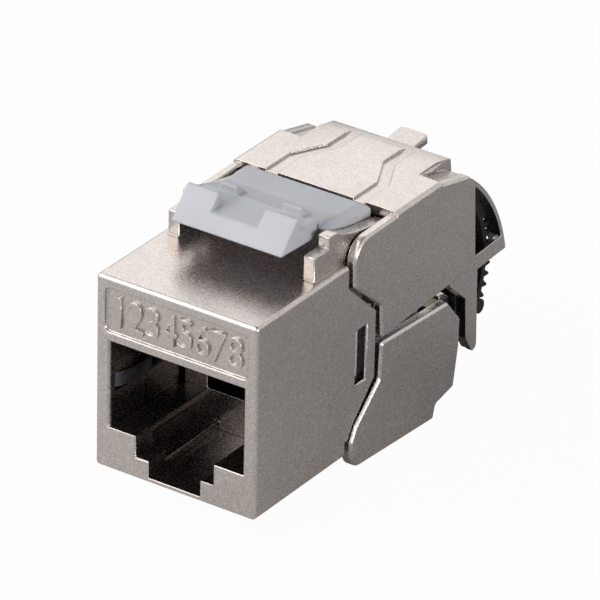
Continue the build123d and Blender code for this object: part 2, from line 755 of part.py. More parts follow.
def cable_clamp():
    """Curved slide: two toothed rails, a curved web open below for the cable, and the saddle."""
    middle = CLAMP_Y + CLAMP_LENGTH / 2
    face = sector(SLIDE_CENTRE, RAIL_IN + 0.1, RAIL_ROOT - 0.1, RAIL_LOW + 1, RAIL_HIGH)
    web = side_prism(face, 0.5 - RAIL_HALF, RAIL_HALF - 0.5)
    web -= Pos(0, 30, MID_Z) * Rot(90, 0, 0) * Cylinder(CABLE_RADIUS + 0.4, 12)
    web -= centred(CABLE_RADIUS + 0.1, 25, 35, -5, MID_Z)
    saddle = Pos(0, middle, MID_Z) * Rot(90, 0, 0) * Cylinder(CABLE_RADIUS + 1, CLAMP_LENGTH)
    saddle -= centred(10, 20, 40, -10, MID_Z)
    saddle -= Pos(0, 30, MID_Z) * Rot(90, 0, 0) * Cylinder(CABLE_RADIUS, 12)
    clamp = web + saddle + both(toothed_rail())
    return turned(clamp, PIVOT_Y, MID_Z + PIVOT_DZ, AJAR)


def save(name, shape):
    """Moves a finished piece to the shared frame and writes it."""
    export_step(Pos(-ORIGIN[0], -ORIGIN[1], -ORIGIN[2]) * shape, f"parts/{name}.step")


save("front_housing", front_housing())
save("keystone_latch", keystone_latch())
save("contact_carrier", contact_carrier())
for index in range(1, 9):
    save(f"jack_contact_{index}", jack_contact(index))
save("shield_spring_right", shield_spring())
save("shield_spring_left", mirror(shield_spring(), Plane.YZ))
save("circuit_board", circuit_board())
save("idc_block", idc_block())
seats = [(x, y) for y in BLADE_ROWS for x in (-BLADE_X, BLADE_X)]
for index, (x, y) in enumerate(seats, start=1):
    save(f"idc_contact_{index}", idc_contact(x, y))
    save(f"idc_contact_{index + 4}", upside_down(idc_contact(x, y)))
save("upper_door", upper_door())
save("lower_door", lower_door())
save("upper_wire_presser", upper_wire_presser())
save("lower_wire_presser", lower_wire_presser())
save("cable_shield_spring", cable_shield_spring())
save("cable_clamp", cable_clamp())
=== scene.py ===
import json
import math

import bmesh
import bpy
from bpy.props import FloatProperty, FloatVectorProperty, PointerProperty, StringProperty
from bpy.types import Operator, Panel, PropertyGroup
from mathutils import Matrix, Vector
from mathutils.bvhtree import BVHTree
from mathutils.kdtree import KDTree


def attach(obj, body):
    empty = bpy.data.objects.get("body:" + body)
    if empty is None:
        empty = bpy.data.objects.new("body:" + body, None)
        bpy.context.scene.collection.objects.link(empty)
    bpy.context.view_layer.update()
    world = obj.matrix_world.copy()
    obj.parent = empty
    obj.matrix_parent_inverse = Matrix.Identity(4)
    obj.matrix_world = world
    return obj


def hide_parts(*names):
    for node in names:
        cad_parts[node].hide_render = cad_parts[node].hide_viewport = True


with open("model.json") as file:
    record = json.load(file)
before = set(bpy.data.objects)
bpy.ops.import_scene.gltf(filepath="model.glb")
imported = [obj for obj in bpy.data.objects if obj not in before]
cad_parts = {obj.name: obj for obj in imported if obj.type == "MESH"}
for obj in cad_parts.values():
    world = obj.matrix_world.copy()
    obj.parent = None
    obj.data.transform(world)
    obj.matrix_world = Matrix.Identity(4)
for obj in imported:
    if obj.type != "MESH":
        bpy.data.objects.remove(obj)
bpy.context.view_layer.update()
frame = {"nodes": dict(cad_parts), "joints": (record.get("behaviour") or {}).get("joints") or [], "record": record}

bl_info = {
    "name": "Keystone jack finishes",
    "version": (1, 0, 0),
    "blender": (4, 5, 0),
    "location": "View3D > Sidebar > Jack",
    "description": "Gives a shielded keystone jack its finishes and its stage",
    "category": "Object",
}

MM = 0.001

# Points nearer than this are one point, in metres
WELD = 0.000002

# Samples of the shader nodes that look round a point
LOOK_SAMPLES = 6

# Painted edge highlight and painted corner shade: cosines of a full edge and of a flat, open shares of a full
# corner and of open ground, and a corner's reach
EDGE_COSINES = (0.75, 0.99)
CORNER_OPENING = (0.35, 0.9)
CORNER_REACH = 0.00035

# Nodes of each finish
WHITE_NODES = ("idc_block",)
BLACK_NODES = ("contact_carrier", "upper_wire_presser", "lower_wire_presser")
GOLD_NODES = tuple(f"jack_contact_{n}" for n in range(1, 9))
TINNED_NODES = tuple(f"idc_contact_{n}" for n in range(1, 9))

# Node, its rounded piece, and the radii of outer edges and inner corners in millimetres
CAST_PIECES = (
    ("front_housing", "cast_housing", 0.26, 0.10),
    ("upper_door", "cast_upper_door", 0.20, 0.10),
    ("lower_door", "cast_lower_door", 0.20, 0.10),
)

# The same radii for the latch and the slide
LATCH_ROUNDING = (0.30, 0.14)
SLIDE_ROUNDING = (0.08, 0.04)

# Body that each node moves with
NODE_BODY = {
    node: body for body, nodes in frame["record"]["behaviour"]["bodies"].items() for node in nodes
}

# Front face and the recess above the port, in millimetres in the jack's frame
FRONT_Y = -10.05
RECESS_DEPTH = 0.25
RECESS_Z = 4.825

# Inside of the port in millimetres: half its width, its rim, its end, the start of its depth, its heights
PORT_HALF = 6.95
PORT_RIM = 0.4
PORT_END_Y = 8.0
PORT_BACK_Y = -0.9
PORT_Z = (-8.4, 4.7)

# Lit plate and the two plates with painted shade of the cast pieces, in the order of their material slots
OUTER, WALL, DEPTH = range(3)

# Shares of colour that painted shade leaves: of the plate on the walls of the port and deep inside, and of the
# brass on its spring
WALL_SHADE_SHARE = 0.68
DEPTH_SHADE_SHARE = 0.10
BRASS_SHADE_SHARE = 0.22

# Middle of the cable hood, and where its ring starts, in millimetres
HOOD_Y = 10.2
HOOD_Z = -2.7
RING_Y = 17.6

# How squarely a face of the ring must look at the hood's middle to be an inner one, painted in deep shade
INNER_FACE = 0.5

# Guessed lips and ribs of the slide, about its own centre: radii, sides, and angles in degrees
SLIDE_BARS = (
    ((7.82, 8.03), (3.4, 6.2), (-37.5, -20.0)),
    ((7.95, 8.72), (4.35, 5.9), (-33.0, 46.0)),
    ((7.95, 8.72), (0.0, 4.35), (25.0, 46.0)),
)
BAR_STEPS = 10

# Rounding of edges: smallest turn of a sharp edge, largest turn of a flat join, and the cosine at which
# one edge runs on into the next
SHARP_TURN = math.radians(24)
FLAT_TURN = math.radians(0.6)
RUNS_ON = -0.75
ROUND_STEPS = 3

# Share of a neighbouring edge that a rounding may take, and the narrowest rounding worth making
ROOM_SHARE = 0.42
NARROWEST = 0.01 * MM

# How far a face may leave the surface, as a share of the largest rounding, and the smallest face looked at,
# in square metres
STRAY_SHARE = 0.3
SMALLEST_FACE = 1e-12

# Tries at a clean rounding, and those that halve a fault's width before the others take it away
ROUND_TRIES = 12
HALVING_TRIES = 4

# Raised numbers: size of the type for a height of one, rise, bevel and narrowing
TYPE_SIZE = 1.38
NUMBER_RISE = 0.00020
NUMBER_BEVEL = 0.00002
NUMBER_WIDTH = 0.84

# Camera: azimuth, elevation and roll in degrees, its place in metres, and its focal length in pixels
CAMERA_TURN = (33.87, 28.54, 1.28)
CAMERA_PLACE = (0.25031, -0.36673, 0.244805)
FOCAL_PIXELS = 6781.5
PHOTO_PIXELS = 600
SENSOR_WIDTH = 36.0

# Lamps: place, target and size in metres
KEY_LAMP = ((-0.27, -0.36, 0.44), (0, 0, 0), (0.9, 0.7))
TOP_LAMP = ((-0.26, 0.30, 0.26), (0, 0.01, 0), (0.34, 0.26))
FILL_LAMP = ((0.40, -0.06, 0.06), (0, 0.01, 0), (0.20, 0.10))

# Floor: half its side, the direction in which painted shade darkens it, from where to where, and its two colours
FLOOR_REACH = 1.6
FLOOR_WAY = (0.56, 0.83, 0)
FLOOR_SPAN = (-0.025, 0.025)
FLOOR_NEAR = (0.97, 0.97, 0.97)
FLOOR_FAR = (0.54, 0.54, 0.55)

# Plain white of the floor that the camera and the reflections meet
FLOOR_SEEN = 0.97
FLOOR_MIRRORED = 0.05

# Where the room darkens overhead in reflections, as the sine of the angle above level, and what is left
CEILING_FROM = 0.72
CEILING_TO = 0.88
CEILING_LEFT = 0.25


# Node trees


class Tree:
    """A new material's node tree, with short calls for its nodes and links."""

    def __init__(self, name):
        self.material = bpy.data.materials.new(name)
        self.material.use_nodes = True
        self.nodes = self.material.node_tree.nodes
        self.links = self.material.node_tree.links
        self.shader = self.nodes["Principled BSDF"]
        self.output = self.nodes["Material Output"]
        self.place = self.add("ShaderNodeTexCoord").outputs["Object"]

    def add(self, kind, **settings):
        """A new node with its settings."""
        node = self.nodes.new(kind)
        for key, value in settings.items():
            setattr(node, key, value)
        return node

    def join(self, source, target):
        """A link from one socket to another."""
        self.links.new(source, target)

    def noise(self, scale, detail=2.0, rough=0.5):
        """Noise over the piece; scale is in cells per metre."""
        node = self.add("ShaderNodeTexNoise")
        node.inputs["Scale"].default_value = scale
        node.inputs["Detail"].default_value = detail
        node.inputs["Roughness"].default_value = rough
        self.join(self.place, node.inputs["Vector"])
        return node.outputs["Fac"]

    def flecks(self, scale):
        """Random value for each small crystal of the surface."""
        node = self.add("ShaderNodeTexVoronoi")
        node.inputs["Scale"].default_value = scale
        self.join(self.place, node.inputs["Vector"])
        split = self.add("ShaderNodeSeparateColor")
        self.join(node.outputs["Color"], split.inputs["Color"])
        return split.outputs["Red"]

    def span(self, source, low, high, source_low=0.0, source_high=1.0):
        """A value moved from one range to another."""
        node = self.add("ShaderNodeMapRange")
        ends = {"From Min": source_low, "From Max": source_high, "To Min": low, "To Max": high}
        for key, value in ends.items():
            node.inputs[key].default_value = value
        self.join(source, node.inputs["Value"])
        return node.outputs["Result"]

    def mix(self, share, first, second):
        """Two colours mixed; each, and the share, may be a socket or a plain value."""
        node = self.add("ShaderNodeMix", data_type="RGBA")
        factor, a, b = node.inputs[0], node.inputs[6], node.inputs[7]
        for socket, value in ((factor, share), (a, first), (b, second)):
            if isinstance(value, bpy.types.NodeSocket):
                self.join(value, socket)
            elif isinstance(value, (int, float)):
                socket.default_value = value
            else:
                socket.default_value = (*value, 1.0)
        return node.outputs[2]

    def soft_edges(self, radius):
        """Normal that runs smoothly over edges."""
        node = self.add("ShaderNodeBevel", samples=LOOK_SAMPLES)
        node.inputs["Radius"].default_value = radius
        return node.outputs["Normal"]

    def edge_highlight_share(self, rounded):
        """Mask of the painted edge highlight: one on an edge and nothing on a flat, from the rounded normal."""
        flat = self.add("ShaderNodeNewGeometry").outputs["Normal"]
        dot = self.add("ShaderNodeVectorMath", operation="DOT_PRODUCT")
        self.join(rounded, dot.inputs[0])
        self.join(flat, dot.inputs[1])
        return self.span(dot.outputs["Value"], 1.0, 0.0, *EDGE_COSINES)

    def corner_shade_share(self, reach):
        """Mask of painted shade: more in an inner corner, and nothing in the open."""
        node = self.add("ShaderNodeAmbientOcclusion", samples=LOOK_SAMPLES, only_local=True)
        node.inputs["Distance"].default_value = reach
        return self.span(node.outputs["AO"], 0.75, 0.0, *CORNER_OPENING)

    def bump(self, height, strength, distance, normal=None):
        """Normal with a relief on it."""
        node = self.add("ShaderNodeBump")
        node.inputs["Strength"].default_value = strength
        node.inputs["Distance"].default_value = distance
        self.join(height, node.inputs["Height"])
        if normal is not None:
            self.join(normal, node.inputs["Normal"])
        return node.outputs["Normal"]

    def set(self, **values):
        """Constant values on the shader's own sockets."""
        for key, value in values.items():
            self.shader.inputs[key.replace("_", " ")].default_value = value

    def feed(self, **sources):
        """Links into the shader's sockets."""
        for key, source in sources.items():
            self.join(source, self.shader.inputs[key.replace("_", " ")])


def scaled(colour, factor):
    """A colour made lighter or darker."""
    return tuple(min(1.0, c * factor) for c in colour)


def cast_metal(name, colour, sizes):
    """Satin nickel plate over blasted metal: fine grain, cloudy patches, painted shade in inner corners, painted
    highlight on edges.
    """
    tree = Tree(name)
    base = tuple(colour)

    # Grain, larger patches and slow clouds
    grain = tree.noise(sizes.grain, 3.0, 0.65)
    patches = tree.noise(sizes.grain * 0.22, 3.0, 0.6)
    clouds = tree.noise(260.0, 3.0)
    colour = tree.mix(tree.span(grain, 0.0, 1.0, 0.3, 0.7), scaled(base, 0.76), scaled(base, 1.16))
    colour = tree.mix(tree.span(patches, 0.0, 0.5, 0.45, 0.75), colour, scaled(base, 0.80))
    colour = tree.mix(tree.span(clouds, 0.0, 0.3, 0.35, 0.7), colour, scaled(base, 0.82))

    # A few pale crystals and a few dark ones
    crystal = tree.flecks(sizes.grain * 1.1)
    colour = tree.mix(tree.span(crystal, 0.0, 0.35, 0.93, 1.0), colour, scaled(base, 1.5))
    colour = tree.mix(tree.span(crystal, 0.4, 0.0, 0.0, 0.06), colour, scaled(base, 0.45))

    # Painted highlight that makes the edges pale, and painted shade that darkens the inner corners
    rounded = tree.soft_edges(sizes.edge)
    edge = tree.edge_highlight_share(rounded)
    colour = tree.mix(tree.span(edge, 0.0, 0.6), colour, scaled(base, 1.5))
    colour = tree.mix(tree.corner_shade_share(CORNER_REACH), colour, scaled(base, 0.30))

    # Relief and gloss
    normal = tree.bump(patches, 0.2, 0.00003, rounded)
    normal = tree.bump(grain, 0.6, 0.000015, normal)
    normal = tree.bump(crystal, 0.15, 0.00001, normal)
    rough = tree.span(crystal, sizes.rough - 0.06, sizes.rough + 0.06)
    tree.set(Metallic=1.0)
    tree.feed(Base_Color=colour, Roughness=rough, Normal=normal)
    return tree.material


def moulded_plastic(name, colour, rough, grain, edge, glow=0.0, shine=0.5):
    """Moulded plastic with a faint texture, small colour changes and a painted highlight on its edges."""
    tree = Tree(name)
    fine = tree.noise(grain, 3.0)
    clouds = tree.noise(320.0, 2.0)
    tone = tree.mix(tree.span(clouds, 0.0, 1.0, 0.3, 0.7), scaled(colour, 0.94), scaled(colour, 1.03))
    rounded = tree.soft_edges(edge)
    # Painted highlight: the edges are made lighter
    tone = tree.mix(tree.span(tree.edge_highlight_share(rounded), 0.0, 0.5), tone, scaled(colour, 1.12))
    tree.feed(
        Base_Color=tone,
        Roughness=tree.span(fine, rough - 0.07, rough + 0.07, 0.3, 0.7),
        Normal=tree.bump(fine, 0.15, 0.00002, rounded),
    )
    tree.set(IOR=1.49, Specular_IOR_Level=shine, Subsurface_Weight=glow, Subsurface_Scale=0.0012)
    return tree.material


def plated_wire(name, colour, rough):
    """Drawn or stamped metal with fine marks along it."""
    tree = Tree(name)
    marks = tree.noise(5200.0, 2.0)
    tone = tree.mix(tree.span(marks, 0.0, 1.0, 0.3, 0.7), scaled(colour, 0.85), scaled(colour, 1.1))
    tree.feed(
        Base_Color=tone,
        Roughness=tree.span(marks, rough - 0.05, rough + 0.08, 0.3, 0.7),
        Normal=tree.bump(marks, 0.1, 0.00001),
    )
    tree.set(Metallic=1.0)
    return tree.material


def board_mask(name, colour):
    """Coated board: green with a faint weave under the coat."""
    tree = Tree(name)
    weave = tree.noise(2600.0, 1.0)
    tone = tree.mix(tree.span(weave, 0.0, 1.0, 0.35, 0.65), scaled(colour, 0.8), scaled(colour, 1.2))
    tree.feed(Base_Color=tone, Normal=tree.bump(weave, 0.1, 0.00002))
    tree.set(Roughness=0.28, Coat_Weight=0.4)
    return tree.material


def give(names, material):
    """Puts a finish on CAD nodes."""
    for name in names:
        data = frame["nodes"][name].data
        data.materials.clear()
        data.materials.append(material)
        for face in data.polygons:
            face.material_index = 0


# Worn edges


def sharp_edges(shape):
    """Edges where two faces meet at a clear angle."""
    return [e for e in shape.edges if len(e.link_faces) == 2 and e.calc_face_angle() > SHARP_TURN]


def away(edge, vert):
    """Direction of an edge as it leaves one of its ends."""
    return (edge.other_vert(vert).co - vert.co).normalized()


def edge_runs(edges):
    """Groups of edges that run on into each other without a corner."""
    group = {edge: index for index, edge in enumerate(edges)}
    moved = True
    while moved:
        moved = False
        for edge in edges:
            for vert in edge.verts:
                for other in vert.link_edges:
                    if other is edge or other not in group or group[other] == group[edge]:
                        continue
                    if away(edge, vert).dot(away(other, vert)) < RUNS_ON:
                        group[edge] = group[other] = min(group[edge], group[other])
                        moved = True
    return group


def edge_room(edge, group):
    """Width that an edge can be rounded by before it meets the next corner."""
    room = 1.0
    for vert in edge.verts:
        for other in vert.link_edges:
            if other is edge or group.get(other) == group[edge]:
                continue
            turn = away(edge, vert).cross(away(other, vert)).length
            room = min(room, ROOM_SHARE * other.calc_length() * turn)
    return room


def bevelled(shape, widths, largest):
    """Mesh of a shape with each edge rounded by its own width."""
    layer = shape.edges.layers.float["bevel_weight_edge"]
    for edge in shape.edges:
        edge[layer] = widths.get(edge.index, 0.0) / largest
    mesh = bpy.data.meshes.new("rounding")
    shape.to_mesh(mesh)
    for face in mesh.polygons:
        face.use_smooth = True
    piece = bpy.data.objects.new("rounding", mesh)
    bpy.context.scene.collection.objects.link(piece)
    bevel = piece.modifiers.new("rounding", "BEVEL")
    bevel.limit_method = "WEIGHT"
    bevel.width = largest
    bevel.segments = ROUND_STEPS
    bevel.use_clamp_overlap = False
    even = piece.modifiers.new("even_shading", "WEIGHTED_NORMAL")
    even.keep_sharp = True
    graph = bpy.context.evaluated_depsgraph_get()
    final = bpy.data.meshes.new_from_object(piece.evaluated_get(graph))
    bpy.data.objects.remove(piece)
    return final


def strays(mesh, surface, reach):
    """Corners, still on the surface, of the triangles that have left it."""
    roots = []
    mesh.calc_loop_triangles()
    points = [v.co.copy() for v in mesh.vertices]
    for triangle in mesh.loop_triangles:
        corners = [points[i] for i in triangle.vertices]
        if triangle.area < SMALLEST_FACE:
            continue
        centre = (corners[0] + corners[1] + corners[2]) / 3
        middles = [(corners[i] + corners[i - 1]) / 2 for i in range(3)]
        for place in (centre, *middles):
            if surface.find_nearest(place)[3] > reach:
                roots += [c for c in corners if surface.find_nearest(c)[3] <= reach]
                break
    return roots


def rounded_copy(node, piece_name, outer, inner):
    """Copy of a CAD node, its outer edges and inner corners rounded by radii in millimetres."""
    outer, inner = outer * MM, inner * MM
    source = frame["nodes"][node].data
    shape = bmesh.new()
    shape.from_mesh(source)
    bmesh.ops.remove_doubles(shape, verts=shape.verts, dist=WELD)
    surface = BVHTree.FromBMesh(shape)
    bmesh.ops.dissolve_limit(shape, angle_limit=FLAT_TURN, verts=shape.verts, edges=shape.edges)
    bmesh.ops.recalc_face_normals(shape, faces=shape.faces)
    shape.edges.layers.float.new("bevel_weight_edge")
    shape.edges.index_update()
    edges = sharp_edges(shape)
    group = edge_runs(edges)
    room = {}
    for edge in edges:
        wanted = outer if edge.is_convex else inner
        run = group[edge]
        room[run] = min(room.get(run, wanted), wanted, edge_room(edge, group))
    largest = max(outer, inner)
    for attempt in range(ROUND_TRIES):
        widths = {e.index: room[group[e]] for e in edges if room[group[e]] > NARROWEST}
        final = bevelled(shape, widths, largest)
        roots = strays(final, surface, STRAY_SHARE * largest)
        if not roots:
            break
        tree = KDTree(len(roots))
        for index, root in enumerate(roots):
            tree.insert(root, index)
        tree.balance()
        for edge in edges:
            near = min(tree.find(v.co)[2] for v in edge.verts)
            if near < 2 * room[group[edge]]:
                room[group[edge]] *= 0.5 if attempt < HALVING_TRIES else 0.0
    shape.free()
    piece = bpy.data.objects.new(piece_name, final)
    bpy.context.scene.collection.objects.link(piece)
    final.name = piece_name
    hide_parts(node)
    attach(piece, NODE_BODY[node])
    return piece


# Sizes and colours that a user may change


class CastFinish(PropertyGroup):
    colour: FloatVectorProperty(
        name="Plate colour",
        description="Colour of the nickel plate",
        subtype="COLOR",
        size=3,
        default=(0.565, 0.515, 0.485),
        min=0.0,
        max=1.0,
    )
    rough: FloatProperty(
        name="Roughness",
        description="Roughness of the plate",
        default=0.26,
        min=0.1,
        max=0.9,
    )
    grain: FloatProperty(
        name="Grain",
        description="Grain cells per metre",
        default=7500.0,
        min=1000.0,
    )
    # The edge radius rounds the shading of the edges and sets the width of the painted edge highlight
    edge: FloatProperty(
        name="Edge radius",
        description="Radius of the worn cast edges",
        default=0.00014,
        min=0.0,
        unit="LENGTH",
    )


class PlasticFinish(PropertyGroup):
    white: FloatVectorProperty(
        name="White plastic",
        description="Colour of the latch and the rear block",
        subtype="COLOR",
        size=3,
        default=(0.57, 0.58, 0.62),
        min=0.0,
        max=1.0,
    )
    black: FloatVectorProperty(
        name="Black plastic",
        description="Colour of the slide, the comb and the pads",
        subtype="COLOR",
        size=3,
        default=(0.009, 0.009, 0.011),
        min=0.0,
        max=1.0,
    )


class WireFinish(PropertyGroup):
    gold: FloatVectorProperty(
        name="Gold plate",
        description="Colour of the port contacts",
        subtype="COLOR",
        size=3,
        default=(0.83, 0.62, 0.24),
        min=0.0,
        max=1.0,
    )
    tin: FloatVectorProperty(
        name="Tinned bronze",
        description="Colour of the blades",
        subtype="COLOR",
        size=3,
        default=(0.62, 0.55, 0.44),
        min=0.0,
        max=1.0,
    )
    # The leaf springs' dark colour is painted shade from the inside of the port
    leaf: FloatVectorProperty(
        name="Leaf springs",
        description="Colour of the leaf springs in the port",
        subtype="COLOR",
        size=3,
        default=(0.14, 0.14, 0.16),
        min=0.0,
        max=1.0,
    )
    brass: FloatVectorProperty(
        name="Spring brass",
        description="Colour of the spring under the cable",
        subtype="COLOR",
        size=3,
        default=(0.66, 0.52, 0.30),
        min=0.0,
        max=1.0,
    )
    board: FloatVectorProperty(
        name="Board coat",
        description="Colour of the circuit board",
        subtype="COLOR",
        size=3,
        default=(0.03, 0.16, 0.07),
        min=0.0,
        max=1.0,
    )


class NumberRow(PropertyGroup):
    words: StringProperty(
        name="Numbers",
        description="Plain contact numbers raised in the recess",
        default="12345678",
    )
    height: FloatProperty(
        name="Height",
        description="Height of a number",
        default=0.0027,
        min=0.0005,
        unit="LENGTH",
    )
    pitch: FloatProperty(
        name="Pitch",
        description="Distance from one number to the next",
        default=0.00148,
        min=0.0005,
        unit="LENGTH",
    )


class StageSetup(PropertyGroup):
    floor: FloatProperty(
        name="Floor height",
        description="Height of the floor below the panel cutout's middle",
        default=-0.0111,
        unit="LENGTH",
    )
    key: FloatProperty(
        name="Key lamp",
        description="Power of the lamp at the front left",
        default=4.3,
        min=0.0,
        unit="POWER",
    )
    top: FloatProperty(
        name="Top lamp",
        description="Power of the lamp above and behind",
        default=0.18,
        min=0.0,
        unit="POWER",
    )
    fill: FloatProperty(
        name="Fill lamp",
        description="Power of the low lamp at the right",
        default=0.75,
        min=0.0,
        unit="POWER",
    )
    ambient: FloatProperty(
        name="Room light",
        description="Strength of the light from the room",
        default=0.13,
        min=0.0,
    )


class JackSettings(PropertyGroup):
    cast: PointerProperty(type=CastFinish)
    plastic: PointerProperty(type=PlasticFinish)
    wire: PointerProperty(type=WireFinish)
    numbers: PointerProperty(type=NumberRow)
    stage: PointerProperty(type=StageSetup)


# Pieces


def painted_shade_slot(node, point, normal):
    """Painted shade of a face, by its middle in millimetres: none outside, some on a wall of the port, most deep
    inside it and on the hood ring's inner faces.
    """
    if node == "front_housing":
        along = FRONT_Y + PORT_RIM < point.y < PORT_END_Y
        if abs(point.x) > PORT_HALF or not along or not PORT_Z[0] < point.z < PORT_Z[1]:
            return OUTER
        return DEPTH if point.y > PORT_BACK_Y and point.x > 0 else WALL
    if node == "upper_door" and point.y > RING_Y:
        inward = Vector((0, HOOD_Y - point.y, HOOD_Z - point.z)).normalized()
        return DEPTH if normal.dot(inward) > INNER_FACE else OUTER
    return OUTER


class JACK_OT_cast_pieces(Operator):
    """Finish of the housing and the two doors"""

    bl_idname = "jack.cast_pieces"
    bl_label = "Cast pieces"

    def execute(self, context):
        sizes = context.scene.jack.cast
        # The lit plate and two darker copies that paint shade on the port's walls and deep inside
        plates = [
            cast_metal("nickel_plate", sizes.colour, sizes),
            cast_metal("wall_painted_shade", scaled(sizes.colour, WALL_SHADE_SHARE), sizes),
            cast_metal("deep_painted_shade", scaled(sizes.colour, DEPTH_SHADE_SHARE), sizes),
        ]
        for node, piece_name, outer, inner in CAST_PIECES:
            piece = rounded_copy(node, piece_name, outer, inner)
            piece.data.materials.clear()
            for plate in plates:
                piece.data.materials.append(plate)
            for face in piece.data.polygons:
                face.material_index = painted_shade_slot(node, face.center / MM, face.normal)
        return {"FINISHED"}


def curved_bars(shape, radii, sides, angles):
    """Adds a pair of curved bars to the slide, one each side of its middle."""
    centre = Vector(next(j for j in frame["joints"] if j["name"] == "clamp_slide")["pos_m"])
    corners = list(zip((radii[0], radii[0], radii[1], radii[1]), (*sides, *sides[::-1])))
    for side in (-1, 1):
        rows = []
        for step in range(BAR_STEPS + 1):
            angle = math.radians(angles[0] + (angles[1] - angles[0]) * step / BAR_STEPS)
            out = Vector((0, math.cos(angle), math.sin(angle)))
            places = [centre + out * r * MM + Vector((side * x * MM, 0, 0)) for r, x in corners]
            rows.append([shape.verts.new(place) for place in places])
        faces = [shape.faces.new(rows[0]), shape.faces.new(rows[-1])]
        for first, second in zip(rows, rows[1:]):
            for i in range(4):
                faces.append(shape.faces.new((first[i], first[i - 1], second[i - 1], second[i])))
        bmesh.ops.recalc_face_normals(shape, faces=faces)


class JACK_OT_plastic_pieces(Operator):
    """Finish of the latch, the rear block, the comb, the pads and the slide"""

    bl_idname = "jack.plastic_pieces"
    bl_label = "Plastic pieces"

    def execute(self, context):
        sizes = context.scene.jack.plastic
        white = tuple(sizes.white)
        black = tuple(sizes.black)
        finish = moulded_plastic("white_plastic", white, rough=0.42, grain=3800.0, edge=0.00022, glow=0.25)
        give(WHITE_NODES, finish)
        latch = rounded_copy("keystone_latch", "moulded_latch", *LATCH_ROUNDING)
        latch.data.materials.clear()
        latch.data.materials.append(finish)
        dark = moulded_plastic("black_plastic", black, rough=0.5, grain=5200.0, edge=0.0001, shine=0.2)
        give(BLACK_NODES, dark)
        slide = rounded_copy("cable_clamp", "moulded_slide", *SLIDE_ROUNDING)
        shape = bmesh.new()
        shape.from_mesh(slide.data)
        for radii, sides, angles in SLIDE_BARS:
            curved_bars(shape, radii, sides, angles)
        shape.to_mesh(slide.data)
        shape.free()
        slide.data.materials.clear()
        slide.data.materials.append(dark)
        return {"FINISHED"}


class JACK_OT_wire_pieces(Operator):
    """Finish of the contacts, the springs and the board"""

    bl_idname = "jack.wire_pieces"
    bl_label = "Contacts and board"

    def execute(self, context):
        sizes = context.scene.jack.wire
        give(GOLD_NODES, plated_wire("gold_plate", tuple(sizes.gold), rough=0.22))
        give(TINNED_NODES, plated_wire("tinned_bronze", tuple(sizes.tin), rough=0.34))
        # Leaf springs darkened with painted shade from the port
        leaf = plated_wire("leaf_spring_painted_shade", tuple(sizes.leaf), rough=0.38)
        give(("shield_spring_right", "shield_spring_left"), leaf)
        # Brass darkened by painted shade on the spring under the cable
        brass = plated_wire("spring_brass_painted_shade", scaled(sizes.brass, BRASS_SHADE_SHARE), rough=0.30)
        give(("cable_shield_spring",), brass)
        give(("circuit_board",), board_mask("board_coat", tuple(sizes.board)))
        return {"FINISHED"}


class JACK_OT_contact_numbers(Operator):
    """Plain raised numbers in the recess above the port"""

    bl_idname = "jack.contact_numbers"
    bl_label = "Contact numbers"

    def execute(self, context):
        sizes = context.scene.jack.numbers
        plate = bpy.data.materials["nickel_plate"]
        half = (len(sizes.words) - 1) / 2
        upright = Matrix.Rotation(math.radians(90), 4, "X")
        back = (FRONT_Y + RECESS_DEPTH) * MM
        for index, word in enumerate(sizes.words):
            piece = raised_number(word, index, sizes.height)
            across = (index - half) * sizes.pitch
            piece.data.transform(Matrix.Translation((across, back, RECESS_Z * MM)) @ upright)
            piece.data.materials.append(plate)
            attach(piece, "housing")
        return {"FINISHED"}


def raised_number(word, index, height):
    """One number as a mesh with bevelled edges, centred on its own middle."""
    curve = bpy.data.curves.new("number", "FONT")
    curve.body = word
    curve.size = height * TYPE_SIZE
    curve.extrude = NUMBER_RISE
    curve.bevel_depth = NUMBER_BEVEL
    curve.bevel_resolution = 1
    text = bpy.data.objects.new("number", curve)
    bpy.context.scene.collection.objects.link(text)
    bpy.context.view_layer.update()
    graph = bpy.context.evaluated_depsgraph_get()
    mesh = bpy.data.meshes.new_from_object(text.evaluated_get(graph))
    bpy.data.objects.remove(text)
    shape = bmesh.new()
    shape.from_mesh(mesh)
    bmesh.ops.remove_doubles(shape, verts=shape.verts, dist=WELD)
    xs = [v.co.x for v in shape.verts]
    ys = [v.co.y for v in shape.verts]
    middle = ((min(xs) + max(xs)) / 2, (min(ys) + max(ys)) / 2, 0)
    bmesh.ops.translate(shape, verts=shape.verts, vec=-Vector(middle))
    bmesh.ops.scale(shape, verts=shape.verts, vec=(NUMBER_WIDTH, 1, 1))
    bmesh.ops.recalc_face_normals(shape, faces=shape.faces)
    shape.to_mesh(mesh)
    shape.free()
    piece = bpy.data.objects.new(f"contact_number_{index + 1}", mesh)
    bpy.context.scene.collection.objects.link(piece)
    return piece


# Stage


def camera_matrix(azimuth, elevation, roll, place):
    """Where the camera stands and how it is turned, in degrees and metres."""
    az, el, ro = (math.radians(a) for a in (azimuth, elevation, roll))
    right = Vector((math.cos(az), math.sin(az), 0))
    ahead = Vector((-math.sin(az) * math.cos(el), math.cos(az) * math.cos(el), -math.sin(el)))
    up = right.cross(ahead)
    side = right * math.cos(ro) + up * math.sin(ro)
    high = up * math.cos(ro) - right * math.sin(ro)
    matrix = Matrix((side, high, -ahead)).transposed().to_4x4()
    matrix.translation = place
    return matrix


def soft_lamp(name, place, target, size, power):
    """Lamp with a flat face turned to a point, which the camera doesn't see."""
    data = bpy.data.lights.new(name, "AREA")
    data.shape = "RECTANGLE"
    data.size, data.size_y = size
    data.energy = power
    lamp = bpy.data.objects.new(name, data)
    aim = Vector(target) - Vector(place)
    lamp.matrix_world = Matrix.Translation(place) @ aim.to_track_quat("-Z", "Y").to_matrix().to_4x4()
    lamp.visible_camera = False
    bpy.context.scene.collection.objects.link(lamp)


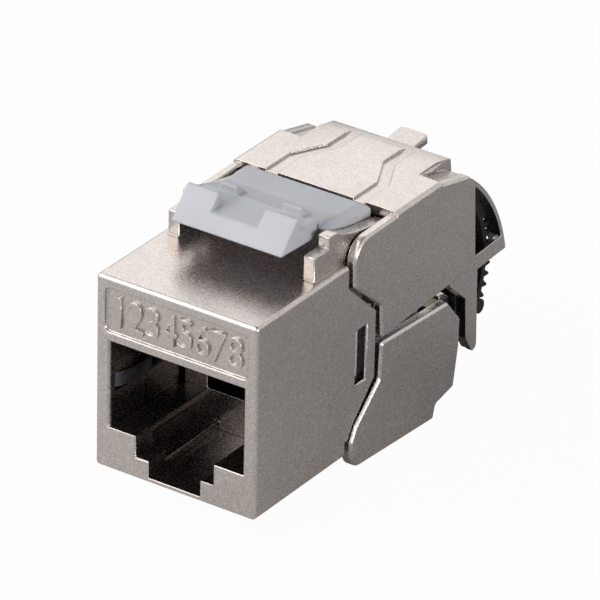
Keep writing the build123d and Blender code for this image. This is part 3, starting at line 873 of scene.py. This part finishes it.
def seen_share(nodes, links, camera, mirrored):
    """How much of the plain white a ray meets: one share for the camera, one for reflections."""
    path = nodes.new("ShaderNodeLightPath")
    total = None
    shares = {"Is Camera Ray": camera, "Is Glossy Ray": mirrored, "Is Transmission Ray": mirrored}
    for ray, share in shares.items():
        part = nodes.new("ShaderNodeMath")
        part.operation = "MULTIPLY"
        part.inputs[1].default_value = share
        links.new(path.outputs[ray], part.inputs[0])
        if total is None:
            total = part.outputs[0]
            continue
        largest = nodes.new("ShaderNodeMath")
        largest.operation = "MAXIMUM"
        links.new(total, largest.inputs[0])
        links.new(part.outputs[0], largest.inputs[1])
        total = largest.outputs[0]
    return total


def floor_finish():
    """Pale floor: nearly white to the camera, with painted shade darker behind the jack where the metal mirrors
    it.
    """
    tree = Tree("pale_floor")
    along = tree.add("ShaderNodeVectorMath", operation="DOT_PRODUCT")
    along.inputs[1].default_value = FLOOR_WAY
    tree.join(tree.place, along.inputs[0])
    depth = tree.span(along.outputs["Value"], 0.0, 1.0, *FLOOR_SPAN)
    tree.feed(Base_Color=tree.mix(depth, FLOOR_NEAR, FLOOR_FAR))
    tree.set(Roughness=0.9, Specular_IOR_Level=0.0)
    glow = tree.add("ShaderNodeEmission")
    glow.inputs["Strength"].default_value = 1.0
    mixer = tree.add("ShaderNodeMixShader")
    tree.join(seen_share(tree.nodes, tree.links, FLOOR_SEEN, FLOOR_MIRRORED), mixer.inputs[0])
    tree.join(tree.shader.outputs[0], mixer.inputs[1])
    tree.join(glow.outputs[0], mixer.inputs[2])
    tree.join(mixer.outputs[0], tree.output.inputs["Surface"])
    return tree.material


def room_light(strength):
    """White surroundings under a darker ceiling, with a plain level of light on the jack."""
    world = bpy.data.worlds.new("room")
    bpy.context.scene.world = world
    world.use_nodes = True
    nodes, links = world.node_tree.nodes, world.node_tree.links
    back = nodes["Background"]
    back.inputs["Color"].default_value = (1, 1, 1, 1)
    place = nodes.new("ShaderNodeTexCoord")
    split = nodes.new("ShaderNodeSeparateXYZ")
    links.new(place.outputs["Generated"], split.inputs["Vector"])
    ceiling = nodes.new("ShaderNodeMapRange")
    ceiling.interpolation_type = "SMOOTHSTEP"
    ends = {"From Min": CEILING_FROM, "From Max": CEILING_TO, "To Min": 1.0, "To Max": CEILING_LEFT}
    for key, value in ends.items():
        ceiling.inputs[key].default_value = value
    links.new(split.outputs["Z"], ceiling.inputs["Value"])
    path = nodes.new("ShaderNodeLightPath")
    seen = nodes.new("ShaderNodeMath")
    seen.operation = "MAXIMUM"
    links.new(path.outputs["Is Camera Ray"], seen.inputs[0])
    links.new(ceiling.outputs["Result"], seen.inputs[1])
    level = nodes.new("ShaderNodeMapRange")
    links.new(seen_share(nodes, links, 1.0, 1.0), level.inputs["Value"])
    level.inputs["To Min"].default_value = strength
    links.new(seen.outputs[0], level.inputs["To Max"])
    links.new(level.outputs["Result"], back.inputs["Strength"])


class JACK_OT_stage(Operator):
    """Floor, lamps and camera"""

    bl_idname = "jack.stage"
    bl_label = "Stage"

    def execute(self, context):
        sizes = context.scene.jack.stage
        signs = ((-1, -1), (1, -1), (1, 1), (-1, 1))
        corners = [(x * FLOOR_REACH, y * FLOOR_REACH, sizes.floor) for x, y in signs]
        mesh = bpy.data.meshes.new("floor")
        mesh.from_pydata(corners, [], [(0, 1, 2, 3)])
        mesh.materials.append(floor_finish())
        floor = bpy.data.objects.new("floor", mesh)
        context.scene.collection.objects.link(floor)
        room_light(sizes.ambient)
        soft_lamp("key_lamp", *KEY_LAMP, sizes.key)
        soft_lamp("top_lamp", *TOP_LAMP, sizes.top)
        soft_lamp("fill_lamp", *FILL_LAMP, sizes.fill)
        data = bpy.data.cameras.new("camera")
        data.sensor_width = SENSOR_WIDTH
        data.lens = SENSOR_WIDTH * FOCAL_PIXELS / PHOTO_PIXELS
        data.clip_start = 0.01
        data.clip_end = 10.0
        camera = bpy.data.objects.new("camera", data)
        camera.matrix_world = camera_matrix(*CAMERA_TURN, CAMERA_PLACE)
        context.scene.collection.objects.link(camera)
        context.scene.camera = camera
        context.scene.view_settings.view_transform = "Standard"
        return {"FINISHED"}


class JACK_PT_panel(Panel):
    """Lists the jack's settings and its steps"""

    bl_idname = "JACK_PT_panel"
    bl_label = "Keystone jack"
    bl_space_type = "VIEW_3D"
    bl_region_type = "UI"
    bl_category = "Jack"

    def draw(self, context):
        settings = context.scene.jack
        for group in (settings.cast, settings.plastic, settings.wire, settings.numbers, settings.stage):
            box = self.layout.box()
            for key in group.__annotations__:
                box.prop(group, key)
        for step in STEPS:
            self.layout.operator(step.bl_idname)


STEPS = (
    JACK_OT_stage,
    JACK_OT_cast_pieces,
    JACK_OT_plastic_pieces,
    JACK_OT_wire_pieces,
    JACK_OT_contact_numbers,
)
GROUPS = (CastFinish, PlasticFinish, WireFinish, NumberRow, StageSetup, JackSettings)
CLASSES = (*GROUPS, *STEPS, JACK_PT_panel)


def register():
    for cls in CLASSES:
        bpy.utils.register_class(cls)
    bpy.types.Scene.jack = PointerProperty(type=JackSettings)


def unregister():
    del bpy.types.Scene.jack
    for cls in reversed(CLASSES):
        bpy.utils.unregister_class(cls)


def main():
    register()
    bpy.ops.jack.stage()
    bpy.ops.jack.cast_pieces()
    bpy.ops.jack.plastic_pieces()
    bpy.ops.jack.wire_pieces()
    bpy.ops.jack.contact_numbers()


if __name__ == "__main__":
    main()
